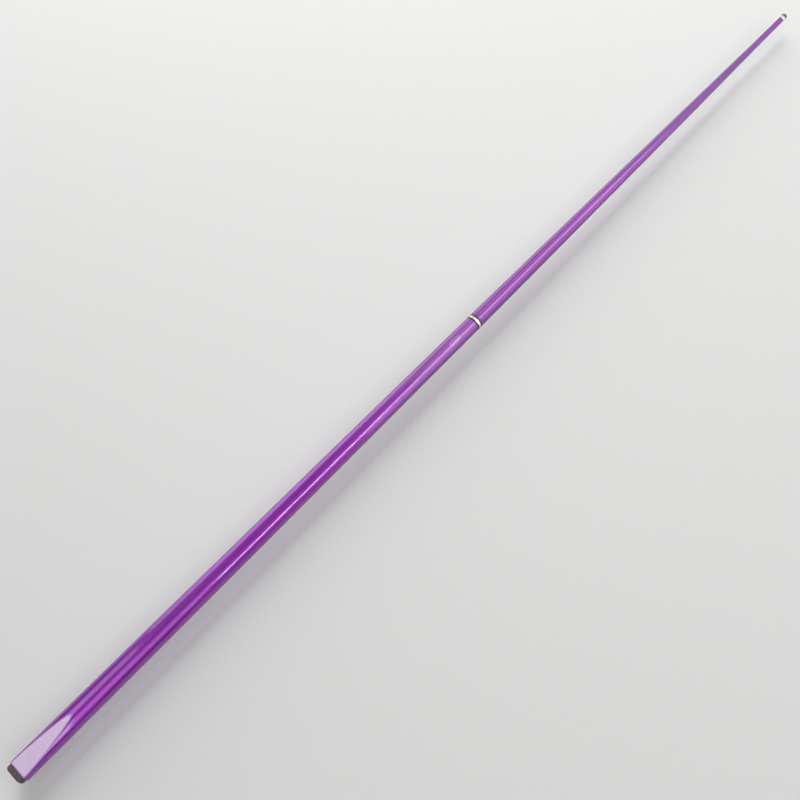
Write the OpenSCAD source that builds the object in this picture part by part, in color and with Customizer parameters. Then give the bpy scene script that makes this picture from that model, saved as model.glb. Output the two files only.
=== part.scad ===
// Two-piece pool cue with a screw joint.
// The cue lies along +X, butt end at x = 0 and tip at x = cue_len. The flat on the butt faces +Z.
// The shaft half unscrews from the butt half about the X axis, on a right-hand thread.

/* [Overall] */
// Length from the bumper's end face to the crown of the tip
cue_len = 1448; // [1380:1:1500]
// Distance from the bumper's end face to the joint face
joint_x = 739.5; // [700:0.5:780]

/* [Butt half] */
// Diameter of the wood at the butt end
butt_d = 28; // [27:0.1:30]
// Diameter of the wood at the joint
joint_d = 21; // [20:0.1:23]
// Belly of the butt: four times what its diameter gains at mid length over a straight taper
butt_belly = 0.8; // [0:0.1:1.5]
// Chamfer round the butt's end edge
butt_chamfer = 0.4; // [0.2:0.1:1]

/* [Flat] */
// Length of the flat along the butt
flat_len = 74; // [60:1:90]
// Depth of the flat at the butt's end
flat_depth = 6.2; // [4:0.1:7]

/* [Bumper] */
// Thickness of the rubber bumper
bumper_t = 7; // [6:0.1:10]
// Diameter of the rubber bumper
bumper_d = 24.6; // [23:0.1:26.5]
// Rounding of the bumper's outer edge
bumper_round = 3; // [1:0.1:3.5]
// Diameter of the screw head moulded into the bumper
screw_head_d = 10; // [8:0.1:12]
// Diameter of the screw's shank
screw_d = 4.5; // [3.5:0.1:5]
// Length of the screw under its head
screw_len = 28; // [20:1:34]

/* [Weight] */
// Diameter of the bore that holds the weight and its plug
weight_bore_d = 11; // [9:0.1:13]
// Length of the wooden plug behind the weight
plug_len = 36; // [34:1:50]
// Length of the steel weight bar
weight_len = 85; // [40:1:140]

/* [Joint] */
// Width of the brass collar on each side of the joint face
collar_w = 1.7; // [1:0.1:4]
// How far a collar stands proud of the wood, on the radius
collar_proud = 0.15; // [0.05:0.05:0.4]
// Width of the black trim ring behind each collar
trim_w = 2.2; // [1:0.1:3]
// Diameter of the wooden tenon that carries the rings
tenon_d = 15; // [14:0.1:16]
// Diameter over the joint pin's thread crests
pin_d = 9; // [8:0.1:10]
// Depth of the rounded thread
thread_depth = 0.9; // [0.6:0.05:1.2]
// Pitch of the thread
thread_pitch = 3; // [2.5:0.1:4]
// Turns of thread on the pin
thread_turns = 6; // [4:1:8]
// Radial clearance between pin and socket
thread_gap = 0.15; // [0.12:0.01:0.25]
// Length of the joint pin that is glued into the butt
pin_set = 32; // [20:1:50]
// Outside diameter of the socket in the shaft
socket_d = 12; // [11.5:0.1:13]

/* [Shaft half] */
// Diameter of the wood where the shaft's near-parallel stretch begins
throat_d = 8.9; // [8.6:0.1:10]
// Length of the near-parallel stretch behind the ferrule
throat_len = 72; // [40:1:150]
// Belly of the shaft: four times what its diameter gains at mid length over a straight taper
shaft_belly = 2.8; // [0:0.1:4]

/* [Ferrule and tip] */
// Diameter of the ferrule and tip
tip_d = 8.5; // [8:0.1:8.6]
// Length of the brass ferrule
ferrule_len = 7; // [5:0.1:12]
// Wall thickness of the ferrule
ferrule_wall = 1.1; // [0.6:0.1:1.5]
// Length of the leather tip at its crown
leather_len = 4.2; // [3:0.1:6]
// Radius of the tip's dome
dome_r = 7; // [5:0.1:12]

/* [Hidden] */

$fn = 96;
TAPER_STEPS = 10;        // straight stretches that draw each curved taper
THREAD_SIDES = 20;       // corners round the thread
RINGS_PER_TURN = 12;     // thread outlines in one turn
OVER = 1;                // how far a cutter runs past the face it opens

ring_w = trim_w + collar_w;                    // rings on one side of the joint face
thread_len = thread_turns * thread_pitch;
pilot_len = 3;                                 // plain nose that guides the pin into the socket
pin_nose_r = pin_d / 2 - thread_depth;
socket_depth = thread_len + pilot_len + 1.5;
socket_wall_end = 2.5;
ferrule_x = cue_len - leather_len - ferrule_len;
leather_x = cue_len - leather_len;
throat_x = ferrule_x - throat_len;
tip_tenon_d = tip_d - 2 * ferrule_wall;
weight_x = bumper_t + plug_len;                // where the weight bar begins
screw_head_t = 2.6;
screw_head_x = 3;                              // rubber in front of the screw head
screw_point = 5;                               // length of the screw's taper

// A taper from d0 to d1 over u = 0..1, with a belly that is fullest at mid length
function taper(u, d0, d1, belly) = d0 + (d1 - d0) * u + belly * u * (1 - u);

// Diameters of the lacquered wood at any x on each half
function butt_d_at(x) =
    taper((x - bumper_t) / (joint_x - bumper_t), butt_d, joint_d, butt_belly);
function shaft_d_at(x) = x < throat_x
    ? taper((x - joint_x) / (throat_x - joint_x), joint_d, throat_d, shaft_belly)
    : throat_d + (tip_d - throat_d) * (x - throat_x) / throat_len;

// The flat is planar: it rises from its depth at the wood's end to the surface at its apex
flat_low = butt_d / 2 - flat_depth;
flat_rise = butt_d_at(bumper_t + flat_len) / 2 - flat_low;

// Turns an outline of [radius, x] about the X axis
module turned() rotate([90, 0, 90]) rotate_extrude() children();

// A solid disc or bar of diameter d from x0 to x1
module bar(d, x0, x1) translate([x0, 0, 0]) rotate([0, 90, 0]) cylinder(d = d, h = x1 - x0);

// A cone frustum from x0 to x1
module cone(d0, d1, x0, x1)
    translate([x0, 0, 0]) rotate([0, 90, 0]) cylinder(d1 = d0, d2 = d1, h = x1 - x0);

// A plain ring
module ring(d_out, d_in, x0, x1) difference() {
    bar(d_out, x0, x1);
    bar(d_in, x0 - OVER, x1 + OVER);
}

// The cutter for the flat
module flat_cut() translate([bumper_t, 0, flat_low]) rotate([0, -atan(flat_rise / flat_len), 0])
    translate([-butt_d, -butt_d, 0]) cube([flat_len + 3 * butt_d, 2 * butt_d, butt_d]);

// A rounded thread from x0: a circle whose centre winds round the axis once a pitch
module screw_thread(x0, len, grow = 0) {
    throw = thread_depth / 2;
    r = pin_d / 2 - throw + grow;
    rings = round(len / thread_pitch * RINGS_PER_TURN);
    n = THREAD_SIDES;
    points = [for (i = [0:rings], j = [0:n - 1])
        let (along = len * i / rings, turn = 360 * along / thread_pitch, side = 360 * j / n)
        [x0 + along, throw * cos(turn) + r * cos(side), throw * sin(turn) + r * sin(side)]];
    walls = [for (i = [0:rings - 1], j = [0:n - 1])
        let (a = i * n + j, b = i * n + (j + 1) % n)
        each [[a, a + n, b + n], [a, b + n, b]]];
    first_cap = [for (j = [0:n - 1]) j];
    last_cap = [for (j = [n - 1:-1:0]) rings * n + j];
    polyhedron(points, concat([first_cap, last_cap], walls));
}

// Rubber end pad, moulded round the screw's head and cut by the same flat as the wood
module bumper() color("#3a2f38") difference() {
    turned() {
        square([bumper_d / 2 - bumper_round, bumper_t]);
        translate([0, bumper_round]) square([bumper_d / 2, bumper_t - bumper_round]);
        translate([bumper_d / 2 - bumper_round, bumper_round]) circle(bumper_round);
    }
    flat_cut();
    bar(screw_head_d, screw_head_x, screw_head_x + screw_head_t);
    bar(screw_d, screw_head_x, bumper_t + OVER);
}

// Steel wood screw that holds the bumper in the plug
module bumper_screw() color("silver") {
    bar(screw_head_d, screw_head_x, screw_head_x + screw_head_t);
    bar(screw_d, screw_head_x, screw_head_x + screw_head_t + screw_len - screw_point);
    cone(screw_d, 1, screw_head_x + screw_head_t + screw_len - screw_point,
         screw_head_x + screw_head_t + screw_len);
}

// Hardwood plug that closes the weight bore and takes the bumper's screw
module butt_plug() color("tan") difference() {
    bar(weight_bore_d, bumper_t, weight_x);
    bar(screw_d, bumper_t - OVER, screw_head_x + screw_head_t + screw_len - screw_point);
    cone(screw_d, 1, screw_head_x + screw_head_t + screw_len - screw_point,
         screw_head_x + screw_head_t + screw_len);
}

// Steel bar that sets the cue's weight and balance
module weight_bar() color("gray") bar(weight_bore_d, weight_x, weight_x + weight_len);

// Lacquered wooden butt, with the flat, the weight bore and the joint tenon
module butt() color("#8a3aa6") difference() {
    turned() polygon(concat(
        [[0, bumper_t], [butt_d / 2 - butt_chamfer, bumper_t]],
        [for (i = [0:TAPER_STEPS])
            let (x = bumper_t + butt_chamfer
                     + (joint_x - ring_w - bumper_t - butt_chamfer) * i / TAPER_STEPS)
            [butt_d_at(x) / 2, x]],
        [[tenon_d / 2, joint_x - ring_w], [tenon_d / 2, joint_x], [0, joint_x]]));
    flat_cut();
    bar(weight_bore_d, bumper_t - OVER, weight_x + weight_len);
    bar(pin_d, joint_x - pin_set, joint_x + OVER);
}

module butt_trim_ring() color("#1c1420")
    ring(butt_d_at(joint_x), tenon_d, joint_x - ring_w, joint_x - collar_w);

module butt_collar() color("#d8c79a")
    ring(joint_d + 2 * collar_proud, tenon_d, joint_x - collar_w, joint_x);

// Brass stud glued into the butt: plain shank, rounded thread and pilot nose
module joint_pin() color("#c9a85a") {
    bar(pin_d, joint_x - pin_set, joint_x);
    screw_thread(joint_x, thread_len);
    bar(2 * pin_nose_r, joint_x + thread_len, joint_x + thread_len + pilot_len - 1);
    cone(2 * pin_nose_r, 2 * pin_nose_r - 2,
         joint_x + thread_len + pilot_len - 1, joint_x + thread_len + pilot_len);
}

module shaft_collar() color("#d8c79a")
    ring(joint_d + 2 * collar_proud, tenon_d, joint_x, joint_x + collar_w);

module shaft_trim_ring() color("#1c1420")
    ring(shaft_d_at(joint_x), tenon_d, joint_x + collar_w, joint_x + ring_w);

// Brass insert glued into the shaft, threaded inside
module joint_socket() color("#c9a85a") difference() {
    bar(socket_d, joint_x, joint_x + socket_depth + socket_wall_end);
    screw_thread(joint_x - thread_pitch, thread_len + thread_pitch, thread_gap);
    bar(pin_d + 4 * thread_gap, joint_x + thread_len, joint_x + socket_depth);
    cone(pin_d + 2.4, pin_d - 0.6, joint_x - 0.3, joint_x + 1.2);
}

// Lacquered wooden shaft, with the socket's seat, the joint tenon and the ferrule tenon
module shaft() color("#9148b0") difference() {
    turned() polygon(concat(
        [[0, joint_x], [tenon_d / 2, joint_x], [tenon_d / 2, joint_x + ring_w]],
        [for (i = [0:TAPER_STEPS])
            let (x = joint_x + ring_w + (throat_x - joint_x - ring_w) * i / TAPER_STEPS)
            [shaft_d_at(x) / 2, x]],
        [[tip_d / 2, ferrule_x], [tip_tenon_d / 2, ferrule_x],
         [tip_tenon_d / 2, leather_x], [0, leather_x]]));
    bar(socket_d, joint_x - OVER, joint_x + socket_depth + socket_wall_end);
}

// Brass sleeve that keeps the end of the shaft from splitting
module ferrule() color("#d8c79a") ring(tip_d, tip_tenon_d, ferrule_x, leather_x);

// Domed leather tip
module leather_tip() color("#3c3a42") intersection() {
    bar(tip_d, leather_x, cue_len);
    translate([cue_len - dome_r, 0, 0]) sphere(dome_r);
}

bumper();
bumper_screw();
butt_plug();
weight_bar();
butt();
butt_trim_ring();
butt_collar();
joint_pin();
shaft_collar();
shaft_trim_ring();
joint_socket();
shaft();
ferrule();
leather_tip();
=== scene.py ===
import math

import bpy
from mathutils import Matrix, Vector, noise


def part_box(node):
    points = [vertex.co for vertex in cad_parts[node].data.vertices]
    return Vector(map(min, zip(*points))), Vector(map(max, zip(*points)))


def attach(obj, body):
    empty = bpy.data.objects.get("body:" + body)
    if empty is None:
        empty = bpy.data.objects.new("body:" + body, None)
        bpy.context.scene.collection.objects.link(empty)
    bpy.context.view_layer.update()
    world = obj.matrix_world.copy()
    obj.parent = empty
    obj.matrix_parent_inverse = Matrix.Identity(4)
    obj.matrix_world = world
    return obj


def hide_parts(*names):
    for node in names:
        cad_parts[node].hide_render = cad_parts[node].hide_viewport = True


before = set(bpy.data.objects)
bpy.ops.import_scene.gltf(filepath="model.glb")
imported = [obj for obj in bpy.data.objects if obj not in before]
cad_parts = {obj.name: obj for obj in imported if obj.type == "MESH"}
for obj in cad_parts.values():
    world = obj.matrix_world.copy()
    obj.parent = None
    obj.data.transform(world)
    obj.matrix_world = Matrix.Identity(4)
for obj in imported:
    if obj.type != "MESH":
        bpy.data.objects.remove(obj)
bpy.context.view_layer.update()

MM = 0.001

# ---------------------------------------------------------------- sizes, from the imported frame

BUTT_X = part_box("butt")[0].x                    # the wood's end face, where the bumper sits
JOINT_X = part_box("butt")[1].x                   # the face where the two halves meet
TIP_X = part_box("leather_tip")[1].x              # crown of the tip
LEATHER_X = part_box("leather_tip")[0].x
FERRULE_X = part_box("ferrule")[0].x
BUTT_R = -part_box("butt")[0].z
BUMPER_R = -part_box("bumper")[0].z
JOINT_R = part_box("butt_trim_ring")[1].y
COLLAR_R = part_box("butt_collar")[1].y
TIP_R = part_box("leather_tip")[1].y
PLUG_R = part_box("butt_plug")[1].y
WEIGHT_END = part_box("weight_bar")[1].x
PIN_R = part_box("joint_pin")[1].y
PIN_START, PIN_END = (corner.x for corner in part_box("joint_pin"))
SOCKET_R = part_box("joint_socket")[1].y
SOCKET_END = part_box("joint_socket")[1].x
COLLAR_W = JOINT_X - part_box("butt_collar")[0].x
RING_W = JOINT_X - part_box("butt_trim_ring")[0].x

# ---------------------------------------------------------------- sizes that the CAD source shares

BUTT_BELLY = 0.8 * MM                           # extra diameter over a straight taper
SHAFT_BELLY = 2.8 * MM
THROAT_R = 4.45 * MM
THROAT_X = FERRULE_X - 72 * MM
FLAT_LEN = 74 * MM
FLAT_DEPTH = 6.2 * MM
BUMPER_ROUND = 3 * MM
TENON_R = 7.5 * MM
FERRULE_WALL = 1.1 * MM
DOME_R = 7 * MM
THREAD_PITCH = 3 * MM
THREAD_DEPTH = 0.9 * MM
THREAD_LEN = 18 * MM
THREAD_GAP = 0.15 * MM


def taper(u, r0, r1, belly):
    """Radius along a taper whose belly is fullest at mid length."""
    return r0 + (r1 - r0) * u + belly / 2 * u * (1 - u)


def butt_radius(x):
    """Outer radius of the butt's wood, before the flat is cut."""
    return taper((x - BUTT_X) / (JOINT_X - BUTT_X), BUTT_R, JOINT_R, BUTT_BELLY)


def shaft_radius(x):
    """Outer radius of the shaft's wood: a bellied taper, then a straight one through the throat."""
    if x < THROAT_X:
        return taper((x - JOINT_X) / (THROAT_X - JOINT_X), JOINT_R, THROAT_R, SHAFT_BELLY)
    return THROAT_R + (TIP_R - THROAT_R) * (x - THROAT_X) / (FERRULE_X - THROAT_X)


APEX_X = BUTT_X + FLAT_LEN
FLAT_SLOPE = (butt_radius(APEX_X) - (BUTT_R - FLAT_DEPTH)) / FLAT_LEN


def flat_height(x):
    """Height of the flat over the axis."""
    return BUTT_R - FLAT_DEPTH + FLAT_SLOPE * (x - BUTT_X)


# ---------------------------------------------------------------- mesh making

def build(name, rings, material, sharp_deg=40):
    """A closed smooth skin through rings of points. A ring of one point closes an end, or both ends meet."""
    points = [p for ring in rings for p in ring]
    starts = [sum(len(r) for r in rings[:i]) for i in range(len(rings))]
    looped = len(rings[0]) > 1 and len(rings[-1]) > 1
    faces = []
    for i in range(len(rings) if looped else len(rings) - 1):
        a, b = rings[i], rings[(i + 1) % len(rings)]
        sa, sb = starts[i], starts[(i + 1) % len(rings)]
        for j in range(max(len(a), len(b))):
            k = (j + 1) % max(len(a), len(b))
            if len(a) == 1:
                faces.append((sa, sb + k, sb + j))
            elif len(b) == 1:
                faces.append((sa + j, sa + k, sb))
            else:
                faces.append((sa + j, sa + k, sb + k, sb + j))
    mesh = bpy.data.meshes.new(name)
    mesh.from_pydata(points, [], faces)
    mesh.polygons.foreach_set("use_smooth", [True] * len(faces))
    mesh.set_sharp_from_angle(angle=math.radians(sharp_deg))
    mesh.materials.append(material)
    mesh.validate()
    piece = bpy.data.objects.new(name, mesh)
    bpy.context.scene.collection.objects.link(piece)
    return piece


def circle(x, r, sides):
    """A round section, or one point where the radius is nothing."""
    if r <= 0:
        return [(x, 0, 0)]
    return [(x, r * math.cos(2 * math.pi * j / sides), r * math.sin(2 * math.pi * j / sides))
            for j in range(sides)]


def turned(name, outline, material, sides=128, sharp_deg=40):
    """A turned piece from its outline of (x, radius), run with the solid on the left."""
    return build(name, [circle(x, r, sides) for x, r in outline], material, sharp_deg)


def rounded(outline, radius, steps=4):
    """The closed outline with each corner replaced by an arc-like curve that starts radius from it."""
    made = []
    for i, corner in enumerate(outline):
        c = Vector(corner)
        before, after = Vector(outline[i - 1]), Vector(outline[(i + 1) % len(outline)])
        start = c + (before - c).normalized() * min(radius, (before - c).length / 2)
        end = c + (after - c).normalized() * min(radius, (after - c).length / 2)
        for s in range(steps + 1):
            u = s / steps
            made.append(tuple(start * (1 - u) ** 2 + c * 2 * u * (1 - u) + end * u ** 2))
    return made


def spaced(a, b, n):
    """n + 1 even values from a to b."""
    return [a + (b - a) * i / n for i in range(n + 1)]


def soft_min(a, b, k):
    """The smaller of two lengths, blended where they are within k of each other."""
    h = max(k - abs(a - b), 0) / k
    return min(a, b) - h ** 3 * k / 6


EDGE_ZONE = math.radians(7)                     # half the angle of the close rows at the flat's edges


def cut_angles(x):
    """Angles round the cue, from +Y towards +Z, packed closely at the two edges of the flat."""
    edge = math.asin(min(1, flat_height(max(x, BUTT_X)) / butt_radius(max(x, BUTT_X))))
    edge = min(edge, math.pi / 2 - 1.4 * EDGE_ZONE)
    low, high = edge - EDGE_ZONE, edge + EDGE_ZONE
    right, top = spaced(low, high, 10), spaced(high, math.pi - high, 24)
    left, under = spaced(math.pi - high, math.pi - low, 10), spaced(math.pi - low, 2 * math.pi + low, 72)
    return right[:-1] + top[:-1] + left[:-1] + under[:-1]


def cut_ring(x, r, height, soften):
    """A round section of radius r, cut by the flat at that height, with softened edges."""
    ring = []
    for a in cut_angles(x):
        d = soft_min(r, height / math.sin(a), soften) if math.sin(a) > 0.1 else r
        ring.append((x, d * math.cos(a), d * math.sin(a)))
    return ring


def plain_ring(x, r):
    """A round section with the same angles as the cut ones."""
    return [(x, r * math.cos(a), r * math.sin(a)) for a in cut_angles(x)]


def shrunk(ring, share):
    """The same section made smaller about the axis, down to one point."""
    if share == 0:
        return [(ring[0][0], 0, 0)]
    return [(x, y * share, z * share) for x, y, z in ring]


# ---------------------------------------------------------------- node helpers

class Nodes:
    """Short ways to add the nodes of one material."""

    def __init__(self, name):
        self.material = bpy.data.materials.new(name)
        self.material.use_nodes = True
        self.tree = self.material.node_tree
        self.shader = self.tree.nodes["Principled BSDF"]
        self.place = self.add("ShaderNodeTexCoord").outputs["Object"]

    def add(self, kind, **settings):
        """A new node with some of its properties set."""
        node = self.tree.nodes.new(kind)
        for key, value in settings.items():
            setattr(node, key, value)
        return node

    def link(self, source, target):
        self.tree.links.new(source, target)

    def put(self, socket, value):
        """Links a socket to another node's output, or sets it to a plain value."""
        if isinstance(value, bpy.types.NodeSocket):
            self.link(value, socket)
        else:
            socket.default_value = value

    def set(self, **values):
        """Sets or links the shader's sockets, named with underscores for spaces."""
        for key, value in values.items():
            self.put(self.shader.inputs[key.replace("_", " ")], value)

    def math(self, operation, a, b=0.0):
        node = self.add("ShaderNodeMath", operation=operation)
        self.put(node.inputs[0], a)
        self.put(node.inputs[1], b)
        return node.outputs[0]

    def scaled(self, scale):
        """Object coordinates times a scale per axis."""
        node = self.add("ShaderNodeMapping")
        node.inputs["Scale"].default_value = scale
        self.link(self.place, node.inputs["Vector"])
        return node.outputs["Vector"]

    def noise(self, vector, scale=1.0, detail=3.0, roughness=0.5):
        node = self.add("ShaderNodeTexNoise")
        self.link(vector, node.inputs["Vector"])
        node.inputs["Scale"].default_value = scale
        node.inputs["Detail"].default_value = detail
        node.inputs["Roughness"].default_value = roughness
        return node.outputs["Fac"]

    def ramp(self, value, low, high, out_low=0.0, out_high=1.0):
        """Maps low..high to out_low..out_high, smoothly and held at both ends."""
        node = self.add("ShaderNodeMapRange", interpolation_type="SMOOTHSTEP")
        self.link(value, node.inputs["Value"])
        node.inputs["From Min"].default_value = low
        node.inputs["From Max"].default_value = high
        node.inputs["To Min"].default_value = out_low
        node.inputs["To Max"].default_value = out_high
        return node.outputs["Result"]

    def mix(self, amount, a, b):
        """Blends two colours."""
        node = self.add("ShaderNodeMix", data_type="RGBA")
        self.put(node.inputs[0], amount)
        self.put(node.inputs[6], a)
        self.put(node.inputs[7], b)
        return node.outputs[2]

    def bump(self, height, distance, strength):
        node = self.add("ShaderNodeBump")
        self.link(height, node.inputs["Height"])
        node.inputs["Distance"].default_value = distance
        node.inputs["Strength"].default_value = strength
        return node.outputs["Normal"]

    def axes(self):
        """The x, y and z of the object coordinates."""
        node = self.add("ShaderNodeSeparateXYZ")
        self.link(self.place, node.inputs[0])
        return node.outputs

    def length(self, a, b):
        """The length of the step (a, b)."""
        return self.math("SQRT", self.math("ADD", self.math("MULTIPLY", a, a), self.math("MULTIPLY", b, b)))


def rgb(r, g, b):
    """A colour with its alpha."""
    return (r, g, b, 1.0)


# ---------------------------------------------------------------- materials

def ring_line(m, distance, radius, width):
    """1 along a thin circle of that radius, from a distance to its centre."""
    off = m.math("ABSOLUTE", m.math("SUBTRACT", distance, radius))
    return m.ramp(off, width * 0.3, width * 0.7, 1.0, 0.0)


def flat_motif(m):
    """A plain ring, a smaller ring and three short bars, printed faintly on the flat."""
    ring_x, bars_x, bars_end = BUTT_X + 20 * MM, BUTT_X + 34 * MM, BUTT_X + 50 * MM
    first_bar, half_gap = BUTT_X + 36 * MM, 3 * MM
    x, y, _ = m.axes()
    reach = m.length(m.math("SUBTRACT", x, ring_x), y)
    outer = ring_line(m, reach, 5.2 * MM, 0.6 * MM)
    inner = ring_line(m, reach, 2.6 * MM, 0.8 * MM)
    step = m.math("PINGPONG", m.math("SUBTRACT", x, first_bar), half_gap)
    bar = m.ramp(step, 0.2 * MM, 0.5 * MM, 1.0, 0.0)
    inside = m.math("MULTIPLY", m.math("GREATER_THAN", x, bars_x), m.math("LESS_THAN", x, bars_end))
    narrow = m.ramp(m.math("ABSOLUTE", y), 3.0 * MM, 3.3 * MM, 1.0, 0.0)
    bars = m.math("MULTIPLY", m.math("MULTIPLY", bar, inside), narrow)
    return m.math("MAXIMUM", m.math("MAXIMUM", outer, inner), bars)


def joint_motif(m):
    """Masks of a small plain oval badge by the joint: its fill, and the dots and outline on it."""
    badge_x, long, wide, dot_gap = JOINT_X - 41 * MM, 10 * MM, 3.6 * MM, 3.2 * MM
    lean = math.radians(14)                     # the badge faces this far round from the top
    x, y, z = m.axes()
    across = m.math("ADD", m.math("MULTIPLY", y, math.cos(lean)), m.math("MULTIPLY", z, math.sin(lean)))
    facing = m.math("SUBTRACT", m.math("MULTIPLY", z, math.cos(lean)), m.math("MULTIPLY", y, math.sin(lean)))
    along = m.math("SUBTRACT", x, badge_x)
    reach = m.length(m.math("DIVIDE", along, long), m.math("DIVIDE", across, wide))
    front = m.math("GREATER_THAN", facing, 0.0)
    fill = m.math("MULTIPLY", m.ramp(reach, 0.95, 1.0, 1.0, 0.0), front)
    edge = m.math("MULTIPLY", ring_line(m, reach, 0.9, 0.12), front)
    spot = m.length(m.math("PINGPONG", along, dot_gap), across)
    spots = m.math("MULTIPLY", m.ramp(spot, 0.7 * MM, 1.1 * MM, 1.0, 0.0), m.math("LESS_THAN", reach, 0.8))
    return fill, m.math("MAXIMUM", edge, m.math("MULTIPLY", spots, front))


def lacquer(name, start, end, near, far):
    """Purple flake lacquer under a clear coat, paler on the flat as a paler panel tone and as a painted
    reflection of the bright light over it. Its colour goes from near to far between the x of start
    and the x of end."""
    m = Nodes(name)
    drift = m.noise(m.scaled((6, 60, 60)), detail=3)
    flake = m.add("ShaderNodeTexVoronoi")
    m.link(m.place, flake.inputs["Vector"])
    flake.inputs["Scale"].default_value = 4200
    sparkle = m.add("ShaderNodeSeparateColor")
    m.link(flake.outputs["Color"], sparkle.inputs[0])
    tint = m.mix(m.ramp(m.axes()[0], start, end), rgb(*near), rgb(*far))
    base = m.mix(m.ramp(drift, 0.35, 0.65, 0.0, 0.25), tint, rgb(0.4, 0.06, 0.55))
    base = m.mix(m.ramp(sparkle.outputs[0], 0.75, 1.0, 0.0, 0.3), base, rgb(0.55, 0.22, 0.68))
    fill, dots = joint_motif(m)
    base = m.mix(m.math("MULTIPLY", fill, 0.3), base, rgb(0.36, 0.22, 0.34))
    base = m.mix(m.math("MULTIPLY", dots, 0.1), base, rgb(0.6, 0.45, 0.6))
    flat = m.add("ShaderNodeAttribute", attribute_name="flat").outputs["Fac"]
    # painted reflection: the flat's paler colour stands partly for the bright light that it mirrors, partly
    # for a paler tone of its own
    pale_flat_and_reflection = m.mix(m.math("MULTIPLY", flat_motif(m), 0.5), rgb(0.36, 0.22, 0.44), rgb(0.24, 0.12, 0.32))
    base = m.mix(flat, base, pale_flat_and_reflection)
    peel = m.noise(m.place, scale=420, detail=2)
    marks = m.noise(m.scaled((60, 900, 900)), detail=4, roughness=0.7)
    m.set(Base_Color=base, Metallic=m.ramp(flat, 0.0, 1.0, 0.65, 0.1),
          Roughness=m.ramp(sparkle.outputs[1], 0.0, 1.0, 0.3, 0.42), IOR=1.5,
          Coat_Weight=1.0, Coat_IOR=1.5, Coat_Roughness=m.ramp(marks, 0.55, 0.75, 0.05, 0.12),
          Normal=m.bump(sparkle.outputs[2], 0.02 * MM, 0.25), Coat_Normal=m.bump(peel, 0.02 * MM, 0.35))
    return m.material


def bare_wood():
    """Pale hardwood, as the plug and the tenons show it."""
    m = Nodes("bare_wood")
    grain = m.noise(m.scaled((30, 900, 900)), detail=4, roughness=0.6)
    m.set(Base_Color=m.mix(m.ramp(grain, 0.35, 0.7), rgb(0.66, 0.45, 0.26), rgb(0.4, 0.24, 0.12)),
          Roughness=0.6, Normal=m.bump(grain, 0.05 * MM, 0.5))
    return m.material


def rubber():
    """Black rubber with a fine moulded grain, a little paler where it has rubbed."""
    m = Nodes("bumper_rubber")
    grain = m.noise(m.place, scale=2600, detail=3)
    rub = m.noise(m.place, scale=150, detail=5, roughness=0.65)
    m.set(Base_Color=m.mix(m.ramp(rub, 0.4, 0.75), rgb(0.06, 0.035, 0.052), rgb(0.13, 0.09, 0.115)),
          Roughness=m.ramp(rub, 0.3, 0.8, 0.42, 0.65), Normal=m.bump(grain, 0.06 * MM, 0.6))
    return m.material


def brass(name, colour, roughness):
    """Turned brass: fine lines round the axis, and a slight tarnish."""
    m = Nodes(name)
    lines = m.noise(m.scaled((9000, 60, 60)), detail=2)
    tarnish = m.noise(m.place, scale=260, detail=4, roughness=0.6)
    dull = tuple(c * 0.82 for c in colour)
    m.set(Base_Color=m.mix(m.ramp(tarnish, 0.45, 0.75, 0.0, 0.6), rgb(*colour), rgb(*dull)),
          Metallic=1.0, Roughness=m.ramp(tarnish, 0.3, 0.8, roughness, roughness + 0.1),
          Normal=m.bump(lines, 0.01 * MM, 0.4))
    return m.material


def trim():
    """Glossy black ring material."""
    m = Nodes("black_trim")
    wear = m.noise(m.place, scale=500, detail=4)
    m.set(Base_Color=rgb(0.012, 0.008, 0.014), Roughness=m.ramp(wear, 0.3, 0.8, 0.3, 0.5),
          Specular_IOR_Level=0.35)
    return m.material


def steel():
    """Turned steel for the hidden screw and weight."""
    m = Nodes("steel")
    lines = m.noise(m.scaled((4000, 50, 50)), detail=2)
    m.set(Base_Color=rgb(0.55, 0.55, 0.56), Metallic=1.0, Roughness=m.ramp(lines, 0.3, 0.7, 0.25, 0.4))
    return m.material


def leather():
    """Pressed leather, scuffed and dulled with chalk."""
    m = Nodes("tip_leather")
    fibre = m.noise(m.place, scale=2400, detail=5, roughness=0.7)
    chalk = m.noise(m.place, scale=900, detail=3)
    m.set(Base_Color=m.mix(m.ramp(chalk, 0.4, 0.7), rgb(0.06, 0.06, 0.066), rgb(0.1, 0.105, 0.115)),
          Roughness=0.85, Normal=m.bump(fibre, 0.12 * MM, 0.8))
    return m.material


BUTT_LACQUER = lacquer("butt_lacquer", 0.35, 0.7, (0.235, 0.017, 0.35), (0.185, 0.03, 0.25))
SHAFT_LACQUER = lacquer("shaft_lacquer", 0.95, 1.4, (0.17, 0.012, 0.24), (0.125, 0.011, 0.21))
WOOD = bare_wood()
RUBBER = rubber()
# painted highlight: the brass that shows is made pale and pinkish, as it looks when lit bright; the hidden
# pin and socket keep brass's own colour
PAINTED_PALE_BRASS = brass("brass_bright", (0.76, 0.65, 0.6), 0.2)
JOINT_BRASS = brass("brass_joint", (0.78, 0.58, 0.27), 0.24)
TRIM = trim()
STEEL = steel()
LEATHER = leather()


# ---------------------------------------------------------------- pieces

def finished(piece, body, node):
    """Seats a piece on its body in place of its CAD node."""
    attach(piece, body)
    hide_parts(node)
    return piece


BARE_R = TENON_R + 0.01 * MM                    # near the joint, the wood is bare out to here


def mark_flat(mesh):
    """Writes how much of each point belongs to the flat, by how far it lies below the round."""
    flat = mesh.attributes.new("flat", "FLOAT", "POINT")
    for v in mesh.vertices:
        if BUTT_X < v.co.x < APEX_X + 2 * MM:
            depth = butt_radius(v.co.x) - math.hypot(v.co.y, v.co.z)
            flat.data[v.index].value = min(1, max(0, (depth - 0.1 * MM) / (0.15 * MM)))


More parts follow.
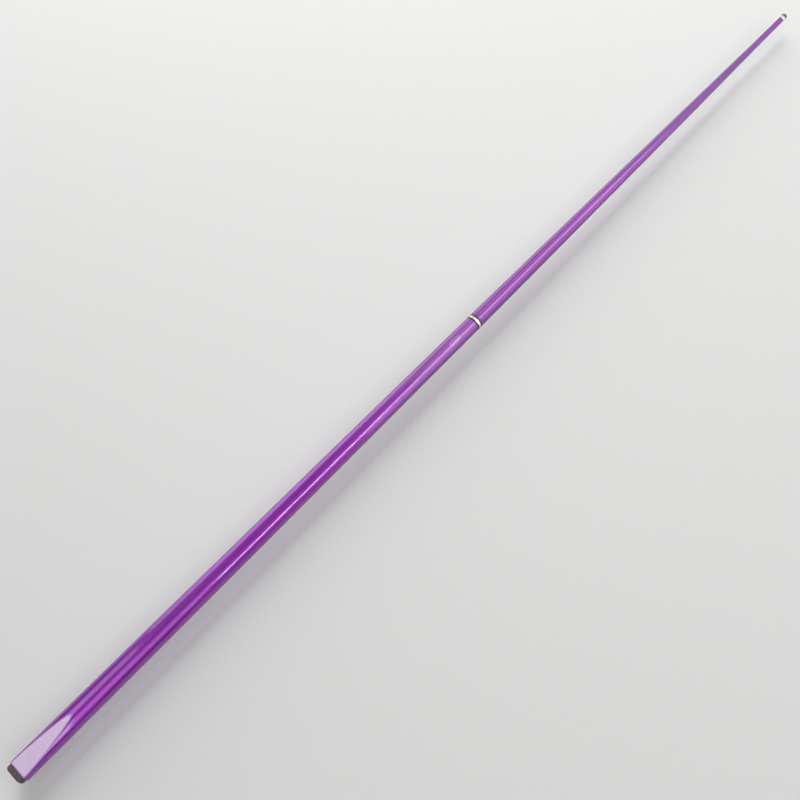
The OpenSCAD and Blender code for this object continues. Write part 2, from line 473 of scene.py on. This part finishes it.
def make_butt():
    """Butt with its flat, its joint tenon, and the bores for the weight and the pin."""
    break_r = 0.45 * MM                         # lacquered rounding of the end edge
    soften = 1.3 * MM
    past_flat = APEX_X + 12 * MM
    wood_end = JOINT_X - RING_W
    rings = [[(WEIGHT_END, 0, 0)], plain_ring(WEIGHT_END, PLUG_R), plain_ring(BUTT_X, PLUG_R),
             plain_ring(BUTT_X, BUMPER_R * 0.55)]
    for i in range(5):
        a = math.pi / 2 * i / 4
        x = BUTT_X + break_r * (1 - math.cos(a))
        inset = break_r * (1 - math.sin(a))
        rings.append(cut_ring(x, butt_radius(x) - inset, flat_height(x) - inset, soften))
    stations = spaced(BUTT_X + break_r, past_flat, 56)[1:] + spaced(past_flat, wood_end, 60)[1:]
    rings += [cut_ring(x, butt_radius(x), flat_height(x), soften) for x in stations]
    rings += [plain_ring(wood_end, TENON_R), plain_ring(JOINT_X, TENON_R),
              plain_ring(JOINT_X, PIN_R), plain_ring(PIN_START, PIN_R), [(PIN_START, 0, 0)]]
    piece = build("butt_shell", rings, BUTT_LACQUER)
    mark_flat(piece.data)
    piece.data.materials.append(WOOD)
    for face in piece.data.polygons:
        across = math.hypot(face.center.y, face.center.z)
        if across < BARE_R and (face.center.x > wood_end or across < PLUG_R):
            face.material_index = 1
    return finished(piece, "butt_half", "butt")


def make_bumper():
    """Rubber pad with a rounded outer edge, cut by the same flat."""
    soften = 1.0 * MM
    ease = 1.2 * MM                             # rounding where the flat meets the end face
    outer = []
    for i in range(9):
        a = math.pi / 2 * i / 8
        x = BUMPER_ROUND * (1 - math.cos(a))
        r = BUMPER_R - BUMPER_ROUND * (1 - math.sin(a))
        short = max(0, 1 - x / ease)
        drop = ease * (1 - math.sqrt(1 - short * short))
        outer.append(cut_ring(x, r, flat_height(x) - drop, soften))
    for x in spaced(BUMPER_ROUND, BUTT_X, 6)[1:]:
        outer.append(cut_ring(x, BUMPER_R, flat_height(x), soften))
    rings = [shrunk(outer[0], share) for share in (0, 0.25, 0.5, 0.75, 0.92)]
    rings += outer
    rings += [shrunk(outer[-1], share) for share in (0.8, 0.4, 0)]
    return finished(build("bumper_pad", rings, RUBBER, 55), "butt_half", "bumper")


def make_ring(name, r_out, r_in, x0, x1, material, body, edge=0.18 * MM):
    """A turned ring with eased edges."""
    outline = rounded([(x0, r_in), (x0, r_out), (x1, r_out), (x1, r_in)], edge)
    piece = turned(name, outline, material, sides=160)
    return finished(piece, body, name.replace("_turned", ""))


def make_shaft():
    """Shaft with its joint tenon, its ferrule tenon and the socket's seat."""
    wood_start = JOINT_X + RING_W
    tip_tenon = TIP_R - FERRULE_WALL
    outline = [(SOCKET_END, 0), (SOCKET_END, SOCKET_R), (JOINT_X, SOCKET_R), (JOINT_X, TENON_R),
               (wood_start, TENON_R)]
    outline += [(x, shaft_radius(x)) for x in spaced(wood_start, THROAT_X, 48)]
    outline += [(x, shaft_radius(x)) for x in spaced(THROAT_X, FERRULE_X, 8)[1:]]
    outline += [(FERRULE_X, tip_tenon), (LEATHER_X, tip_tenon), (LEATHER_X, 0)]
    piece = turned("shaft_shell", outline, SHAFT_LACQUER)
    piece.data.materials.append(WOOD)
    for face in piece.data.polygons:
        across = math.hypot(face.center.y, face.center.z)
        if face.center.x < wood_start and across < BARE_R or face.center.x > FERRULE_X:
            face.material_index = 1
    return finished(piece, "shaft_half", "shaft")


def make_tip():
    """Domed leather tip, slightly swollen at its waist and rough on its dome."""
    swell, rough, pits = 0.08 * MM, 0.06 * MM, 1400
    rim = TIP_X - (DOME_R - math.sqrt(DOME_R ** 2 - TIP_R ** 2))
    outline = [(LEATHER_X, 0), (LEATHER_X, TIP_R * 0.6), (LEATHER_X, TIP_R - 0.05 * MM)]
    outline += [(x, TIP_R + swell * math.sin(math.pi * (x - LEATHER_X) / (rim - LEATHER_X)))
                for x in spaced(LEATHER_X, rim, 8)[1:]]
    steps = 18
    for i in range(1, steps):
        r = TIP_R * (1 - i / steps)
        outline.append((TIP_X - DOME_R + math.sqrt(DOME_R ** 2 - r ** 2), r))
    outline.append((TIP_X, 0))
    piece = turned("leather_tip_domed", outline, LEATHER, sides=96)
    for v in piece.data.vertices:
        if rim < v.co.x < TIP_X:
            v.co.x += rough * (noise.noise(v.co * pits) - 0.6)
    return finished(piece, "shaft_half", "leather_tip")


THREAD_SIDES = 48
THREAD_END = JOINT_X + THREAD_LEN
TURNS = THREAD_LEN / THREAD_PITCH
RUN_OUT = 0.05 * MM                             # the thread ends in a step this long


def winding(x, r):
    """A ring of the rounded thread: a circle whose centre winds round the axis."""
    turn = 2 * math.pi * (x - JOINT_X) / THREAD_PITCH
    throw = THREAD_DEPTH / 2
    side, up = throw * math.cos(turn), throw * math.sin(turn)
    return [(x, side + y, up + z) for x, y, z in circle(x, r, THREAD_SIDES)]


def make_pin():
    """Brass joint pin with its rounded thread and pilot nose."""
    mean_r = PIN_R - THREAD_DEPTH / 2
    nose_r, point = PIN_R - THREAD_DEPTH, 1 * MM
    rings = [circle(x, r, THREAD_SIDES) for x, r in
             ((PIN_START, 0), (PIN_START, PIN_R), (JOINT_X - 0.02 * MM, PIN_R))]
    rings += [winding(x, mean_r) for x in spaced(JOINT_X, THREAD_END, int(TURNS * 32))]
    rings += [circle(x, r, THREAD_SIDES) for x, r in
              ((THREAD_END + RUN_OUT, nose_r), (PIN_END - point, nose_r),
               (PIN_END, nose_r - point), (PIN_END, 0))]
    piece = build("joint_pin_threaded", rings, JOINT_BRASS, 35)
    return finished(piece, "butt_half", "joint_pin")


def make_socket():
    """Brass socket with its inside thread, its mouth chamfer and the pilot's relief."""
    hole_r = PIN_R - THREAD_DEPTH / 2 + THREAD_GAP
    relief_r = PIN_R + 2 * THREAD_GAP
    floor_x = THREAD_END + 4.5 * MM
    mouth = JOINT_X + 1.0 * MM
    rings = [circle(x, r, THREAD_SIDES) for x, r in
             ((SOCKET_END, 0), (SOCKET_END, SOCKET_R), (JOINT_X, SOCKET_R), (JOINT_X, PIN_R + 1.1 * MM),
              (mouth - 0.3 * MM, PIN_R + 0.3 * MM))]
    rings += [winding(x, hole_r) for x in spaced(mouth, THREAD_END, int(TURNS * 30))]
    rings += [circle(x, r, THREAD_SIDES) for x, r in
              ((THREAD_END + RUN_OUT, relief_r), (floor_x, relief_r), (floor_x, 0))]
    rings.reverse()                             # so that the faces look out of the brass
    piece = build("joint_socket_threaded", rings, JOINT_BRASS, 35)
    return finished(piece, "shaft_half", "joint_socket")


make_bumper()
make_butt()
make_shaft()
make_tip()
make_pin()
make_socket()
make_ring("butt_trim_ring_turned", JOINT_R, TENON_R, JOINT_X - RING_W, JOINT_X - COLLAR_W, TRIM,
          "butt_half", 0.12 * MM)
make_ring("butt_collar_turned", COLLAR_R, TENON_R, JOINT_X - COLLAR_W, JOINT_X, PAINTED_PALE_BRASS,
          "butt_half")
make_ring("shaft_collar_turned", COLLAR_R, TENON_R, JOINT_X, JOINT_X + COLLAR_W, PAINTED_PALE_BRASS,
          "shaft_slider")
make_ring("shaft_trim_ring_turned", JOINT_R, TENON_R, JOINT_X + COLLAR_W, JOINT_X + RING_W, TRIM,
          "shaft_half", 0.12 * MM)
make_ring("ferrule_turned", TIP_R, TIP_R - FERRULE_WALL, FERRULE_X, LEATHER_X, PAINTED_PALE_BRASS,
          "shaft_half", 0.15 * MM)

for node, material in (("bumper_screw", STEEL), ("weight_bar", STEEL), ("butt_plug", WOOD)):
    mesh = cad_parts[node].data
    mesh.materials.clear()
    mesh.materials.append(material)


# ---------------------------------------------------------------- stage, lights and camera

BOX_DISTANCE = 1.8


def around(x, angle_deg, distance=BOX_DISTANCE):
    """A place beside the cue at x: 0 degrees is straight above, and 90 is level with it on the -Y side."""
    angle = math.radians(angle_deg)
    return Vector((x, -distance * math.sin(angle), distance * math.cos(angle)))


def turned_to(thing, place, forward, up):
    """Puts a camera or light at a place, looking along forward."""
    right = forward.cross(up).normalized()
    up = right.cross(forward)
    turn = Matrix((right, up, -forward)).transposed().to_4x4()
    thing.matrix_world = Matrix.Translation(place) @ turn
    bpy.context.scene.collection.objects.link(thing)


FLOOR_Z = -BUTT_R - 12 * MM                     # the floor lies 12 mm below the butt
PALE_GLOW = rgb(0.98, 0.98, 0.97)
GLOW = 0.74                                     # how brightly the far floor and the wall glow


def staged(name, points, faces, material):
    """A part of the stage from its points and faces."""
    mesh = bpy.data.meshes.new(name)
    mesh.from_pydata(points, [], faces)
    mesh.materials.append(material)
    thing = bpy.data.objects.new(name, mesh)
    bpy.context.scene.collection.objects.link(thing)
    return thing


def make_floor():
    """A pale floor that glows a little far away, so that it meets the backdrop from any side."""
    half, fade_start, fade_end = 14, 1.02, 2.0
    m = Nodes("floor")
    x, y, _ = m.axes()
    reach = m.length(m.math("SUBTRACT", x, TIP_X / 2), y)
    far = m.ramp(reach, fade_start, fade_end)
    m.set(Base_Color=m.mix(far, rgb(0.775, 0.778, 0.766), rgb(0.0, 0.0, 0.0)),
          Roughness=0.9, Specular_IOR_Level=0.1, Emission_Color=PALE_GLOW,
          Emission_Strength=m.ramp(reach, fade_start, fade_end, 0.0, GLOW))
    corners = [(-half, -half, 0), (half, -half, 0), (half, half, 0), (-half, half, 0)]
    floor = staged("floor", corners, [(0, 1, 2, 3)], m.material)
    floor.location.z = FLOOR_Z


def make_backdrop():
    """A pale wall all round, far behind everything, that only the camera sees."""
    radius, top, sides = 13, 14, 48
    foot = FLOOR_Z - 0.1
    turns = [2 * math.pi * i / sides for i in range(sides)]
    points = [(radius * math.cos(a), radius * math.sin(a), z) for z in (foot, top) for a in turns]
    faces = [(i, (i + 1) % sides, sides + (i + 1) % sides, sides + i) for i in range(sides)]
    m = Nodes("backdrop")
    m.set(Base_Color=rgb(0.0, 0.0, 0.0), Roughness=1.0, Specular_IOR_Level=0.0,
          Emission_Color=PALE_GLOW, Emission_Strength=GLOW)
    wall = staged("backdrop", points, faces, m.material)
    wall.visible_glossy = wall.visible_diffuse = wall.visible_shadow = False


def make_box(name, start, end, width, radiance, lights_floor=False):
    """A soft box from one place to another, facing the cue. It shows only in the gloss, or else it
    lights only what is matt."""
    long = end - start
    middle = (start + end) / 2
    light = bpy.data.lights.new(name, "AREA")
    light.shape = "RECTANGLE"
    light.size, light.size_y = width, long.length
    light.energy = radiance * 4 * width * long.length
    box = bpy.data.objects.new(name, light)
    toward = Vector((middle.x, 0, 0)) - middle
    long.normalize()
    toward = (toward - long * toward.dot(long)).normalized()
    turned_to(box, middle, toward, long)
    box.visible_glossy = not lights_floor
    box.visible_diffuse = lights_floor
    box.visible_camera = False


def make_flag():
    """A low black card beside the butt that shows only in the gloss, as a dark line."""
    y, start, end = -0.35, -0.15, 0.24
    tops = [(end, 0.19), (0.05, 0.17), (start, 0.02)]
    corners = [(start, y, FLOOR_Z), (end, y, FLOOR_Z)] + [(x, y, z) for x, z in tops]
    m = Nodes("horizon_flag")
    m.set(Base_Color=rgb(0, 0, 0), Roughness=1.0, Specular_IOR_Level=0.0)
    flag = staged("horizon_flag", corners, [range(5)], m.material)
    flag.visible_camera = flag.visible_diffuse = flag.visible_shadow = False


def make_camera():
    """A 42 mm lens over the butt half, a little to one side of the flat."""
    data = bpy.data.cameras.new("camera")
    data.lens, data.sensor_width = 42.1, 36.0
    camera = bpy.data.objects.new("camera", data)
    place = Vector((0.2633, -0.3439, 1.0583))
    forward = (Vector((0.5952, -0.0041, 0.0)) - place).normalized()
    level = forward.cross(Vector((0, 0, 1))).normalized()
    roll = math.radians(2.985)
    up = level.cross(forward) * math.cos(roll) + level * math.sin(roll)
    turned_to(camera, place, forward, up)
    bpy.context.scene.camera = camera


make_floor()
make_backdrop()
make_camera()
make_box("flat_box", around(-0.95, -18), around(-0.35, -18), 0.6, 4.0)
make_box("upper_box", around(-0.4, -30), around(0.05, -30), 1.3, 1.3)
make_box("side_box", around(0.1, -75), around(3.4, -75), 1.3, 1.3)
make_box("edge_box", around(-0.7, 50), around(-0.22, 50), 1.7, 3.4)
make_box("butt_strip", around(-0.22, 37), around(0.35, 40), 1.2, 0.5)
make_box("middle_strip", around(0.35, 45), around(1.1, 35), 0.13, 17)
make_box("shaft_strip", around(1.1, 34), around(2.6, 21), 0.75, 2.4)
make_box("overhead_box", around(1.25, 0), around(3.6, 0), 3.0, 1.15)
make_box("right_box", around(1.0, 68), around(3.6, 68), 1.5, 1.3)
make_flag()
make_box("floor_box", around(1.05, -56, 3.4), around(4.45, -56, 3.4), 4.1, 3.8, lights_floor=True)
make_box("fill_box", around(-1.2, 20, 3.0), around(2.8, 20, 3.0), 4.2, 0.8, lights_floor=True)

world = bpy.data.worlds.new("studio")
bpy.context.scene.world = world
world.use_nodes = True
background = world.node_tree.nodes["Background"]
background.inputs["Color"].default_value = rgb(0.9, 0.9, 0.92)
background.inputs["Strength"].default_value = 0.13
bpy.context.scene.view_settings.view_transform = "Standard"
